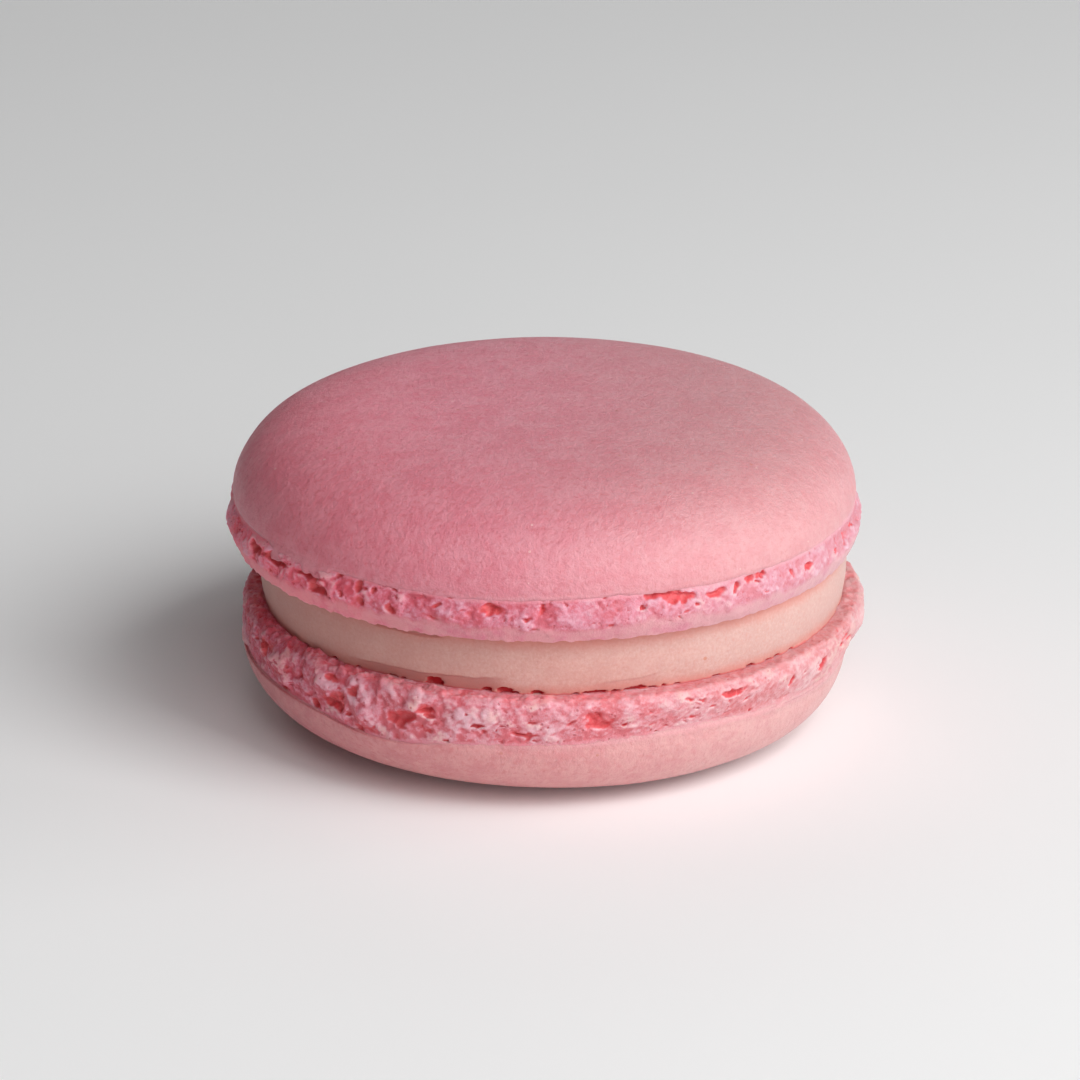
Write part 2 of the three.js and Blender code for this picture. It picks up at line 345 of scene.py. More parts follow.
def torn_flap(shell, azimuth, arc):
    """How much of the torn flap there is at each azimuth: a smooth step at each end, times a length made
    uneven by two sizes of noise."""
    starts = smooth(-1.5, 1.0, np.degrees(turn_from(azimuth, shell.flap.start)))
    ends = smooth(0.8, -0.8, np.degrees(turn_from(azimuth, shell.flap.end)))
    return starts * ends * (
        0.9 + 0.25 * noise(arc, 1.6, shell.seed + 7) + 0.22 * noise(arc, 0.5, shell.seed + 8))


def crust_piece(shell, name):
    """The crust: its outline turned round the middle. The rings then follow the waves of the edge, fray,
    hang where the crust is torn, lean and ripple, and a fine bead runs just above the unfrayed edge. The
    ripples and the lean fade out towards a flat spot, so that it stays flat."""
    azimuth = round_angles(CRUST_COLUMNS)
    radius, height, sway, fray, hang = crust_profile(shell)
    share = np.clip((radius / shell.widest - shell.flat_share) / (1 - shell.flat_share), 0, 1)
    above_lip = smooth(0, shell.lip, height)
    unsettled = 1 - smooth(0.3, 0.1, share) * (shell.flat_share > 0)

    bare = circles(radius, height, azimuth)
    arc = circles(shell.edge, 0, azimuth)
    ripple = noise(bare, 7.0, shell.seed) * 0.05 + noise(bare, 3.1, shell.seed + 1) * 0.018
    ripple = (ripple + noise(bare, 1.4, shell.seed + 2) * 0.007) * above_lip * unsettled
    ragged, stray = frayed_edge(shell, arc)
    flap = torn_flap(shell, azimuth, arc) * hang
    crumbs = 0.10 * noise(bare * (1, 1, 1.6), 0.7, shell.seed + 9) + 0.06 * noise(bare, 0.3, shell.seed + 10)
    bead = bell((bare[..., 2] - BEAD_HEIGHT) / BEAD_SPREAD) * (1 - ragged)

    lean = shell.lean * share * np.cos(azimuth) * above_lip * unsettled
    height = shell.foot + height + sway * edge_wave(shell, azimuth) + lean
    height = height + fray * stray + ripple - shell.flap.hang * flap
    out = ripple * smooth(0.9, 1.0, radius / shell.widest) + flap * (shell.flap.out + crumbs)
    radius = radius + out + BEAD_OUT * bead
    shift = shell.shift * (EDGE_SHIFT + (1 - EDGE_SHIFT) * above_lip)
    return ring_mesh(name, in_place(shell, radius, height, azimuth, shift), bead=bead[:: shell.facing])


# ---------------------------------------------------------------------------------------------
# The foot
# ---------------------------------------------------------------------------------------------

# The foot's height is cut into this many rings. They run a little past it, into the crust.
WALL_RINGS = 51
CLIMB_END = 1.1

# About how far apart the crumb's points are, over four rings and over four columns.
FOUR_RINGS = 0.25
FOUR_COLUMNS = 0.41


def within(limits, share):
    """The value at a share of the way from the first limit to the second."""
    return limits[0] + (limits[1] - limits[0]) * share


def crags(kind, foot, seed):
    """Spots of the foot placed by chance: azimuth, height, width, rise and depth, as whole arrays."""
    count, arc, width, rise, depth = kind
    index = np.arange(count)
    return np.stack([
        within(arc, (index + chance(index, seed)) / count),
        foot * within((0.2, 0.85), chance(index, seed + 1)),
        within(width, chance(index, seed + 2)),
        within(rise, chance(index, seed + 3)),
        within(depth, chance(index, seed + 4)),
    ], axis=-1)


def foot_profile(shell):
    """The foot's smooth outline from the middle of the flat face to just inside the crust. For each ring,
    as a column: its radius, its height, how far it faces outwards and down, and its climb, which is the
    share of the wall's height under it. The wall's radius is
    rim - (rim - tuck) t^2 + swell sin(pi t^swell_at)."""
    bend = shell.rim_round
    shown = np.linspace(CREAM.lower - 0.1, shell.rim - bend, 13)[:-1]
    face = np.concatenate([[0.5 * shell.rim, CREAM.lower - 0.4], shown])
    corner = np.radians(np.linspace(-90, 0, 5))
    climb = np.linspace(0, CLIMB_END, WALL_RINGS + 1)[1:]
    t = np.minimum(climb, 1)
    wall = shell.rim - (shell.rim - shell.tuck) * t ** 2 + shell.swell * np.sin(np.pi * t ** shell.swell_at)
    wall = wall + shell.flare * smooth(0.85, 1.0, climb) - shell.dive * smooth(1.0, CLIMB_END, climb)
    radius = np.concatenate([face, shell.rim - bend + bend * np.cos(corner), wall, [0.5 * shell.tuck]])
    rise = bend + (shell.foot - bend) * np.append(climb, CLIMB_END)
    height = np.concatenate([0 * face, bend + bend * np.sin(corner), rise])
    out = np.concatenate([0 * face, np.cos(corner), np.ones_like(t), [0]])
    down = np.concatenate([np.ones_like(face), -np.sin(corner), 0 * t, [0]])
    climb = np.concatenate([0 * face, 0 * corner, climb, [CLIMB_END]])
    return (column[:, None] for column in (radius, height, out, down, climb))


def nearness(shell, azimuth, height, turn, middle, width, rise):
    """The distance along the wall from a spot, counted in its width and its rise."""
    return np.hypot(turn_from(azimuth, turn) * shell.rim / width, (height - middle) / rise)


def carve_bubbles(surface, along, up, azimuth, shell):
    """Cuts air bubbles into the wall. A bubble is a ball with its centre under the surface, so at a
    distance d from its middle the surface falls to centre - sqrt(R^2 - d^2). Chance sets where round the
    wall and how high it is, its size, how deep it lies and how flat it is."""
    column_width = 2 * np.pi / FOOT_COLUMNS * shell.rim
    number = 0
    for count, least, most in BUBBLES:
        for _ in range(count):
            number += 1
            turn, rise, size, bury, squash = (chance(number, shell.seed + k) for k in range(31, 36))
            ball = within((least, most), size ** 1.5)
            middle = within((shell.rim_round, shell.foot), 0.14 + 0.86 * rise ** 0.75)
            column = int(turn * FOOT_COLUMNS)
            reach = int(2.2 * ball / column_width) + 2
            columns = np.arange(column - reach, column + reach + 1) % FOOT_COLUMNS
            rows = np.nonzero(np.abs(up.mean(axis=1) - middle) < 2.0 * ball + 0.2)[0]
            if not len(rows):
                continue
            patch = np.ix_(rows, columns)
            centre = along[rows[len(rows) // 2], column % FOOT_COLUMNS]
            across = (along[patch] - centre + np.pi) % (2 * np.pi) - np.pi
            wide, tall = 1.0 + 0.7 * squash, 1.05 - 0.35 * squash
            distance = np.hypot(across * shell.rim / wide, (up[patch] - middle) / tall)
            heart = surface[rows[len(rows) // 2], column % FOOT_COLUMNS] - ball * (0.15 + 0.6 * bury)
            floor = heart - np.sqrt(np.maximum(ball ** 2 - distance ** 2, 0))
            lower = np.minimum(surface[patch], floor)
            surface[patch] = np.where(distance < ball, lower, surface[patch])
    return surface


def mean_around(values, rows, columns):
    """The mean of the four values that lie so many rows up and down and columns left and right."""
    up_down = np.roll(values, rows, axis=0) + np.roll(values, -rows, axis=0)
    return (up_down + np.roll(values, columns, axis=1) + np.roll(values, -columns, axis=1)) / 4


def lumps_and_tears(shell, azimuth, height, along, up):
    """How far the wall stands out in slow lumps, and how torn it is: bells at the spots placed by chance,
    at the named bulges, and at the named hollows, whose outlines stray with the last two arrays."""
    form = 0 * up
    torn = 0 * up
    by_chance = [crags(LUMPS, shell.foot, shell.seed), crags(PITS, shell.foot, shell.seed + 20)]
    for *spot, depth in np.concatenate(by_chance):
        near = bell(nearness(shell, azimuth, height, *spot))
        form -= 0.6 * depth * near
        torn += 1.1 * max(depth, 0) * near
    for *spot, depth in shell.hollows:
        torn += (0.62 + 0.6 * depth) * bell(nearness(shell, along, up, *spot) ** 1.2)
    for *spot, out_by in shell.bulges:
        form += out_by * bell(nearness(shell, azimuth, height, *spot))
    return form, torn


def tearing(shell, bare, climb, rough):
    """What noise adds to the tears: two large sizes that follow the roughness and two fine ones, less a
    threshold that is higher on the smooth band and at the flat face."""
    flat = bare * (1, 1, 1.4)
    torn = rough * (0.5 * noise(flat, 1.5, shell.seed + 60) + 0.38 * noise(flat, 0.75, shell.seed + 61))
    torn += 0.2 * noise(flat, 0.36, shell.seed + 62) + 0.1 * noise(flat, 0.18, shell.seed + 63)
    return torn - 1.2 * smooth(shell.band + 0.14, shell.band, climb) - 0.5 * smooth(0.1, 0, climb) - 0.22


def crumb_heights(shell, bare, loose, rough, dusty):
    """The crumb's relief in millimetres: clumps of three sizes of noise and grains of two sizes of round
    heads, both by the roughness, and the finest dust."""
    clump = 0.6 * noise(loose, 1.3, shell.seed + 50) + 0.25 * noise(loose, 0.6, shell.seed + 51)
    clump += 0.07 * noise(bare, 0.3, shell.seed + 52)
    grains = 0.18 * heads(loose, 0.6, shell.seed + 67) + 0.11 * heads(bare, 0.32, shell.seed + 68) - 0.17
    return rough * (0.25 * clump + 0.45 * grains) + dusty


def facing_light(shell, carved, azimuth):
    """From -1 to 1, how much the wall's relief faces the sky and the main light: its slope up the wall,
    and its slope round it times the sine of the turn to the light."""
    faces_up = shell.facing * (np.roll(carved, 2, axis=0) - np.roll(carved, -2, axis=0)) / FOUR_RINGS
    faces_side = (np.roll(carved, 2, axis=1) - np.roll(carved, -2, axis=1)) / FOUR_COLUMNS
    return np.clip(0.6 * faces_up + 0.75 * faces_side * np.sin(np.radians(KEY_AZIMUTH) - azimuth), -1, 1)


def foot_piece(shell, name):
    """The foot: a torn sponge. Its outline is moved outwards by lumps and crumb, drops to a rough floor
    inside pockets, which are where the tears pass a threshold, and is cut by air bubbles. The lumps fade
    out under the crust. The flat face outside the cream is a rough ledge with a notched rim."""
    azimuth = round_angles(FOOT_COLUMNS)
    radius, height, out, down, climb = foot_profile(shell)
    bare = circles(radius, height, azimuth)
    stray_along = 0.34 * noise(bare, 0.9, shell.seed + 40) + 0.16 * noise(bare, 0.32, shell.seed + 41)
    stray_up = 0.26 * noise(bare, 0.9, shell.seed + 42) + 0.14 * noise(bare, 0.32, shell.seed + 43)
    loose = bare + np.stack([stray_along, stray_up, stray_along], axis=-1)
    along = azimuth + stray_along / shell.rim
    up = height + stray_up
    rough = 1 - sum(
        share * bell(turn_from(azimuth, middle) / np.radians(spread)) for middle, spread, share in shell.calm)

    form, torn = lumps_and_tears(shell, azimuth, height, along, up)
    torn += tearing(shell, bare, climb, rough)
    pocket = smooth(0.14, 0.8, torn)
    pit = 0.12 * pocket + 0.46 * smooth(0.25, 1.4, torn)
    dusty = 0.018 * noise(bare, 0.3, shell.seed + 70) + 0.022 * noise(bare, 0.16, shell.seed + 69)
    crowd = crumb_heights(shell, bare, loose, rough, dusty)
    edge_stray = 0.12 * noise(bare, 1.3, shell.seed + 54) + 0.07 * noise(bare, 0.4, shell.seed + 53)
    craggy = smooth(shell.band - 0.04, shell.band + 0.2, climb + edge_stray)
    lumpy = (form * rough + crowd * (1 - 0.4 * pocket)) * smooth(*shell.blend, climb)
    surface = craggy * (lumpy - pit * smooth(1.05, 0.97, climb))
    carved = carve_bubbles(surface.copy(), along, up, azimuth, shell)
    open_wall = smooth(shell.band, shell.band + 0.1, climb) * smooth(0, 0.04, climb)
    carved = surface + (carved - surface) * open_wall

    rim_grain = 0.018 * noise(bare, 0.5, shell.seed + 55) + 0.012 * noise(bare, 0.2, shell.seed + 56)
    notch = 0.06 * noise(bare, 1.5, shell.seed + 57) + 0.035 * noise(bare, 0.45, shell.seed + 58)
    notch = notch * smooth(CREAM.lower - 0.4, CREAM.lower + 1, radius) * smooth(0.5, 0.1, climb)
    ledge = smooth(CREAM.lower - 0.05, CREAM.lower + 0.4, radius) * down
    ledge_relief = 0.6 * np.minimum(surface, 0.15) + 0.14 * noise(bare, 0.6, shell.seed + 71) + 2.2 * dusty
    # The face under the cream, which the finish paints dark red as shade.
    under = smooth(CREAM.lower, CREAM.lower - 0.3, radius) * down
    height = height + np.minimum(climb, 1) * edge_wave(shell, azimuth)
    height = height - down * rim_grain - ledge * rough * ledge_relief
    radius = radius + out * (carved + rim_grain) + notch
    rings = in_place(shell, radius, height, azimuth, shell.shift * EDGE_SHIFT * smooth(0.1, 1, climb))

    # The crumb's colour attributes carry painted light and shade: shade is painted shade in creases, on faces
    # turned from the main light and round the pockets; the pale share is lighter on high relief and has
    # painted light where it faces the sky and the main light; border marks the strip under the crust that is
    # painted lighter.
    sunk = mean_around(carved, 4, 3) - carved
    lit = facing_light(shell, carved, azimuth)
    near_pocket = smooth(-0.6, 0.3, torn)
    deep = np.clip(np.maximum(pocket * craggy, (surface - carved) / 0.2), 0, 1)
    deep = deep * np.maximum(open_wall, 0.4 * ledge)
    shade = np.clip(sunk / 0.09 - 0.9 * lit + 0.45 * near_pocket, 0, 1)
    pale = 0.45 + (0.3 * form + crowd) / (0.5 * rough)
    pale = np.clip(pale + 0.8 * lit - 2.5 * np.maximum(sunk, -0.08) - 0.2 * near_pocket, 0, 1)
    attributes = {
        "pocket": deep, "head_and_light": pale * craggy * (1 - deep), "crumb": craggy, "shade": craggy * shade,
        "border": smooth(0.93, 1.0, climb), "shelf": ledge, "under": under,
    }
    return ring_mesh(name, rings, **{
        key: np.broadcast_to(values, deep.shape)[:: shell.facing] for key, values in attributes.items()})


# ---------------------------------------------------------------------------------------------
# The cream
# ---------------------------------------------------------------------------------------------

# Gaps where the cream doesn't meet the bottom shell: azimuth, half width and height.
GAPS = [
    (-145.5, 0.41, 0.1), (-141, 0.24, 0.15), (-136.3, 0.27, 0.22), (-130.3, 0.2, 0.16), (-122, 0.38, 0.14),
    (-119.9, 0.16, 0.12), (-113.3, 0.66, 0.6), (-102.6, 0.3, 0.3), (-99.1, 0.5, 0.37), (-97, 0.2, 0.15),
    (-93.1, 0.45, 0.36), (-86, 0.25, 0.1), (-82.2, 0.85, 0.2), (-78.4, 0.3, 0.15), (-74.1, 0.75, 0.28),
    (-71, 0.3, 0.13), (-68.7, 0.14, 0.2), (-66, 0.2, 0.14), (-57.8, 0.42, 0.12), (-49.3, 0.34, 0.2),
    (-44.7, 0.32, 0.13), (-42, 0.28, 0.18), (-37.7, 0.37, 0.2), (-14, 0.5, 0.2), (12, 0.6, 0.3),
    (48, 0.5, 0.25), (83, 0.7, 0.3), (121, 0.4, 0.25), (158, 0.6, 0.3), (176, 0.3, 0.2),
]

# Thin places where a knife left the cream set back: the azimuths where one starts and ends, the heights of
# its level there, which shell it reaches to (-1 the bottom, 1 the top), and how deep it is and how dark its
# painted shade.
SMEARS = [
    (-134, -100, 0.75, 1.1, -1, 1.0), (-84, -70, 0.62, 1.15, -1, 0.4), (-128, -111, 3.75, 3.8, 1, 0.7),
    (-111, -96, 4.2, 4.15, 1, 0.4), (30, 62, 0.8, 1.2, -1, 0.6), (100, 125, 3.9, 3.8, 1, 0.6),
]


def smears(azimuth, above, bare):
    """How set back the cream is: each smear lies on one side of a level that runs from one height to
    another and wanders, and fades in and out at its ends."""
    smear = 0 * bare[..., 0]
    wander = 0.12 * noise(bare * (1, 1, 0), 2.0, 74) + 0.04 * noise(bare * (1, 1, 0), 0.5, 75)
    for start, end, first, last, side_of, dark in SMEARS:
        along = (turn_from(azimuth, start) % (2 * np.pi)) / np.radians(end - start)
        level = first + (last - first) * np.clip(along, 0, 1) + wander
        fade = smooth(0, 0.25, along) * smooth(1.05, 0.9, along)
        smear = np.maximum(smear, dark * fade * smooth(-0.06, 0.06, side_of * (above - level)))
    return smear


def gaps(azimuth, above, bare):
    """How open the gaps are: 1 inside ellipses whose outlines stray by two sizes of noise."""
    gap = 0 * bare[..., 0]
    stray = 0.3 * noise(bare, 0.45, 73) + 0.25 * noise(bare, 0.2, 76)
    for turn, half, tall in GAPS:
        across = turn_from(azimuth, turn) * CREAM.middle / half
        distance = np.hypot(across, (above - 0.4 * tall) / (0.62 * tall))
        gap = np.maximum(gap, smooth(1.1, 0.8, distance + stray))
    return gap


def cream_piece(name):
    """The cream: a disc that fills the space between the shells, with its ends hidden in them, rounded
    corners and a side whose radius is a parabola through its three radii, moved by ripples, smears and
    gaps."""
    azimuth = round_angles(CREAM_COLUMNS)
    low, high = face_height(BOTTOM_SHELL) - CREAM.sunk, face_height(TOP_SHELL) + CREAM.sunk
    t = np.linspace(0, 1, 70)
    side = CREAM.lower * 2 * (t - 0.5) * (t - 1) + 4 * CREAM.middle * t * (1 - t)
    side = side + CREAM.upper * 2 * t * (t - 0.5)
    corner = CREAM.corner / (high - low)
    round_in = CREAM.corner * (1 - np.sqrt(1 - np.clip(1 - np.minimum(t, 1 - t) / corner, 0, 1) ** 2))
    hidden = [10, 20]
    radius = np.concatenate([hidden, side - round_in, hidden[::-1]])[:, None]
    height = np.concatenate([[low, low], low + (high - low) * t, [high, high]])[:, None]
    above = height - low - CREAM.sunk

    bare = circles(radius, 1.7 * height, azimuth)
    slow = 0.06 * np.cos(3 * azimuth + 1) + 0.04 * np.sin(7 * azimuth)
    ripple = 0.035 * noise(bare, 3.5, 70) + 0.016 * noise(bare, 1.2, 71) + 0.006 * noise(bare, 0.4, 72)
    smear = smears(azimuth, above, bare)
    gap = gaps(azimuth, above, bare)
    edge = (0.05 + 0.05 * noise(bare * (1, 1, 0), 0.8, 77)) * bell(above / 0.12)
    side_only = np.concatenate([[0, 0], np.ones_like(t), [0, 0]])[:, None]
    radius = radius + side_only * (slow + ripple + edge - 0.13 * smear - 0.35 * gap)
    rings = circles(radius, height, azimuth)
    rings[..., 0] += CREAM.centre_x
    layer_share = np.broadcast_to(above / (high - low), gap.shape)
    return ring_mesh(name, rings, gap=gap, above=layer_share, smear=smear)


# ---------------------------------------------------------------------------------------------
# Finishes
# ---------------------------------------------------------------------------------------------

class Socket:
    """A node's output that can stand in a sum: each sign adds a Math node."""

    def __init__(self, finish, link):
        self.finish, self.link = finish, link

    def __add__(self, other):
        return self.finish.math("ADD", self, other)

    def __sub__(self, other):
        return self.finish.math("SUBTRACT", self, other)

    def __rsub__(self, other):
        return self.finish.math("SUBTRACT", other, self)

    def __mul__(self, other):
        return self.finish.math("MULTIPLY", self, other)

    __radd__ = __add__
    __rmul__ = __mul__


class Finish:
    """A material and the nodes that make it."""

    def __init__(self, name):
        self.material = bpy.data.materials.new(name)
        self.material.use_nodes = True
        self.nodes = self.material.node_tree.nodes
        self.links = self.material.node_tree.links
        self.shader = self.nodes["Principled BSDF"]

    def fill(self, node, sockets):
        """Sets or links a node's inputs, each named by its identifier or its name."""
        for key, value in sockets.items():
            found = [s for s in node.inputs if s.identifier == key]
            found = found or [s for s in node.inputs if s.name == key]
            if isinstance(value, Socket):
                self.links.new(value.link, found[0])
            else:
                found[0].default_value = value

    def node(self, kind, settings, sockets, output=0):
        """Adds a node of a kind, with its settings first and then its inputs, and gives one output."""
        made = self.nodes.new(kind)
        for key, value in settings.items():
            setattr(made, key, value)
        self.fill(made, sockets)
        found = [s for s in made.outputs if s.identifier == output] or [made.outputs[output]]
        return Socket(self, found[0])

    def math(self, operation, first, second):
        """One Math node on two values or links."""
        made = self.nodes.new("ShaderNodeMath")
        made.operation = operation
        for slot, value in zip(made.inputs, (first, second)):
            if isinstance(value, Socket):
                self.links.new(value.link, slot)
            else:
                slot.default_value = value
        return Socket(self, made.outputs[0])

    def place(self):
        """Object coordinates, which are metres."""
        return self.node("ShaderNodeTexCoord", {}, {}, "Object")

    def along(self, place, axis):
        """How far a place is along an axis, in metres."""
        return self.node("ShaderNodeSeparateXYZ", {}, {"Vector": place}, axis)

    def attribute(self, name):
        """A value that the mesh holds at each point."""
        return self.node("ShaderNodeAttribute", {"attribute_name": name}, {}, "Fac")

    def noise(self, place, size, detail=3.0, rough=0.5):
        """Noise from about 0.25 to 0.75 with features of a size in millimetres."""
        inputs = {"Vector": place, "Scale": 1 / (size * MM), "Detail": detail, "Roughness": rough}
        return self.node("ShaderNodeTexNoise", {}, inputs)

    def cells(self, place, size):
        """The distance to the nearest of scattered points, which are a size in millimetres apart."""
        return self.node("ShaderNodeTexVoronoi", {}, {"Vector": place, "Scale": 1 / (size * MM)}, "Distance")

    def step(self, value, low, high):
        """The smooth step from 0 at low to 1 at high."""
        inputs = {"Value": value, "From Min": low, "From Max": high}
        return self.node("ShaderNodeMapRange", {"interpolation_type": "SMOOTHSTEP"}, inputs)

    def mix(self, share, first, second):
        """A colour that is the first at 0 and the second at 1."""
        inputs = {"Factor_Float": share, "A_Color": first, "B_Color": second}
        return self.node("ShaderNodeMix", {"data_type": "RGBA"}, inputs, "Result_Color")

    def tint(self, share, base, factors):
        """A colour multiplied by factors: not at all at 0 and in full at 1."""
        settings = {"data_type": "RGBA", "blend_type": "MULTIPLY"}
        inputs = {"Factor_Float": share, "A_Color": base, "B_Color": factors}
        return self.node("ShaderNodeMix", settings, inputs, "Result_Color")

    def bump(self, height, depth):
        """A Bump node whose height of 1 is a depth in millimetres."""
        return self.node("ShaderNodeBump", {}, {"Height": height, "Strength": 1.0, "Distance": depth * MM})

    def finished(self, sockets):
        """Fills the shader's inputs and gives the material."""
        self.fill(self.shader, sockets)
        return self.material


def colour(red, green, blue):
    """A linear colour with full alpha."""
    return (red, green, blue, 1.0)


ORANGE_SPECK = colour(0.55, 0.16, 0.10)
PALE_SPECK = colour(0.85, 0.55, 0.52)
EDGE_BEAD_HIGHLIGHT = colour(0.80, 0.38, 0.42)


def crust_finish(name, deep, usual, pale, blush_and_lit_side, right, left, back):
    """Satin meringue crust: soft mottling between three shades, a fine leathery grain, a few orange and pale
    specks, and a painted highlight on the bead along its edge. Towards +X it takes on the blush colour, and
    towards +X, -X and +Y it is multiplied by the factors right, left and back. The blush colour and the right
    factors are partly the crust's own colour and partly painted light, paler where the key light falls; the
    left factors are painted shade, deeper and redder."""
    f = Finish(name)
    place = f.place()
    x, y = f.along(place, "X"), f.along(place, "Y")
    # Share towards +X: partly the crust's own colour, partly painted light where the key light falls on the
    # right.
    side = f.step(x, -10 * MM, 22 * MM)
    mottle = f.noise(place, 2.2, 6.0, 0.68)
    freckle = f.noise(place, 0.38, 4.0, 0.65)
    base = f.mix(f.step(mottle, 0.36, 0.64), usual, pale)
    base = f.mix(0.75 * f.step(freckle, 0.48, 0.7), base, deep)
    base = f.mix(0.7 * f.step(f.noise(place, 0.55, 4.0, 0.6), 0.5, 0.7), base, pale)
    # Painted light: paler on the right where the key light falls, partly the crust's own colour. Painted
    # shade: deeper and redder on the left.
    base = f.tint(side, f.mix(0.45 * side, base, blush_and_lit_side), right)
    base = f.tint(f.step(x, -4 * MM, -21 * MM), base, left)
    base = f.tint(f.step(y, -18 * MM, 2 * MM), base, back)
    orange = f.step(f.cells(place, 1.7), 0.1, 0.05) * f.step(f.noise(place, 4.0, 2.0), 0.45, 0.6)
    base = f.mix(0.5 * orange, base, ORANGE_SPECK)
    base = f.mix(0.6 * f.step(f.cells(place, 2.3), 0.05, 0.03), base, PALE_SPECK)
    # Painted highlight: the fine bead along the edge is painted paler, as the light it catches.
    base = f.mix(0.5 * f.attribute("bead"), base, EDGE_BEAD_HIGHLIGHT)
    grain = f.noise(place, 0.14, 4.0, 0.65) * 0.6 + f.noise(place, 0.5, 4.0, 0.6) * 1.2
    gloss = f.step(f.noise(place, 0.8, 3.0), 0.3, 0.7)
    return f.finished({
        "Base Color": base, "Roughness": 0.36 + 0.14 * gloss, "Normal": f.bump(grain, 0.085),
        "Subsurface Weight": 0.15, "Subsurface Radius": (1.0, 0.35, 0.3), "Subsurface Scale": 0.0008,
    })


BORDER_PAINTED_LIGHT = colour(0.88, 0.33, 0.39)
LEDGE_RED = colour(0.74, 0.16, 0.18)
LEDGE_PINK = colour(0.73, 0.33, 0.37)
PORE_SHADE_RED = colour(0.62, 0.12, 0.14)
POCKET_SHADE_CORAL = colour(0.70, 0.09, 0.105)
UNDER_SHADE_RED = colour(0.58, 0.05, 0.055)


def crumb_finish(name, coral, pink, pale, beige, band, warm_lit_side, right, left):
    """The foot's crumb: pink between coral creases and heads that are pale or beige, brighter along the
    crust, deeper coral in the pockets, a smooth band along the flat face, pin pores, and a duller ledge
    outside the cream with dark red under it. Much of this is painted light and shade: the coral of the
    creases and of faces turned from the light, the paler heads in part, where they face the sky and the main
    light, the brighter strip along the crust, the deeper coral of the pockets, the dark red of the pores and
    the dark red under the ledge. Towards +X it takes on the warm colour, and towards +X and -X it is
    multiplied by the factors right and left, the second weaker on the heads: painted light on the right where
    the key light falls and painted shade on the left, partly the crumb's own colour."""
    f = Finish(name)
    place = f.place()
    x = f.along(place, "X")
    crumb = f.attribute("crumb")
    cloud = f.noise(place, 1.8, 7.0, 0.64)
    dust = f.noise(place, 0.16, 3.0, 0.6)
    level = 0.9 * f.attribute("head_and_light") + 2.0 * cloud + 0.8 * dust - 1.6
    on_heads = f.step(level, 0.1, 0.75)
    flesh = f.mix(f.step(level, -0.2, 0.25), coral, pink)
    flesh = f.mix(on_heads, flesh, f.mix(f.step(f.noise(place, 2.8, 3.0), 0.46, 0.62), pale, beige))
    # Painted shade: creases, faces turned from the main light and the crumb round the pockets take the coral.
    flesh = f.mix(0.6 * f.attribute("shade"), flesh, coral)
    # Painted light: a lighter pink along the strip under the crust, lifting the shade at the joint.
    flesh = f.mix(0.6 * f.attribute("border"), flesh, BORDER_PAINTED_LIGHT)
    base = f.mix(crumb, f.mix(f.step(cloud + 0.3 * dust, 0.45, 0.7), pink, band), flesh)
    dull = f.mix(f.step(f.noise(place, 0.6, 4.0, 0.65), 0.42, 0.62), LEDGE_RED, LEDGE_PINK)
    base = f.mix(0.6 * f.attribute("shelf") * crumb, base, dull)
    # Painted light: paler towards +X where the key light falls, partly the crumb's own colour. Painted shade:
    # deeper towards -X.
    lit_side_share = f.step(x, -6 * MM, 22 * MM)
    base = f.tint(lit_side_share, f.mix(0.35 * lit_side_share, base, warm_lit_side), right)
    base = f.tint(f.step(x, -6 * MM, -21 * MM) * (1 - 0.5 * on_heads), base, left)
    # Pin pores: dots painted dark red as the shade inside them, with a dent in the bump.
    pores = f.step(f.cells(place, 0.62), 0.2, 0.1) * f.step(f.noise(place, 1.4, 2.0), 0.42, 0.6) * crumb
    base = f.mix(0.6 * pores, base, PORE_SHADE_RED)
    # Painted shade: the pockets are painted a deeper coral.
    pocket = f.step(f.attribute("pocket") + 0.3 * f.noise(place, 0.4, 3.0), 0.3, 0.9)
    base = f.mix(pocket, base, POCKET_SHADE_CORAL)
    # Painted shade: the face under the cream, seen through the gaps, is painted dark red.
    base = f.mix(f.step(f.attribute("under"), 0.3, 1.0), base, UNDER_SHADE_RED)
    grain = f.noise(place, 0.13, 3.0, 0.6) + f.noise(place, 0.35, 3.0, 0.6) - 1.5 * pores
    return f.finished({
        "Base Color": base, "Roughness": 0.5, "Normal": f.bump(grain, 0.05),
        "Subsurface Weight": 0.7, "Subsurface Radius": (1.0, 0.9, 0.9), "Subsurface Scale": 0.0005,
    })


CREAM_BEIGE = colour(0.635, 0.33, 0.29)
CREAM_LIGHT = colour(0.665, 0.37, 0.33)
CREAM_LIT_RIGHT = colour(0.52, 0.355, 0.322)
CREAM_SHADED_LEFT = colour(0.56, 0.25, 0.21)
CREAM_DARK_DUST = colour(0.58, 0.25, 0.21)
CREAM_PALE_DUST = colour(0.72, 0.46, 0.41)
CREAM_LOW_SHADE = colour(0.63, 0.22, 0.17)
CREAM_UNDER_FOOT_SHADOW = colour(0.66, 0.20, 0.152)
SMEAR_SHADE_BROWN = colour(0.53, 0.205, 0.18)
CONTACT_RED = colour(0.62, 0.12, 0.12)
GAP_SHADE_EDGE = colour(0.62, 0.06, 0.06)
GAP_SHADE_RED = colour(0.5, 0.012, 0.018)
MARK_BROWN = colour(0.55, 0.17, 0.08)


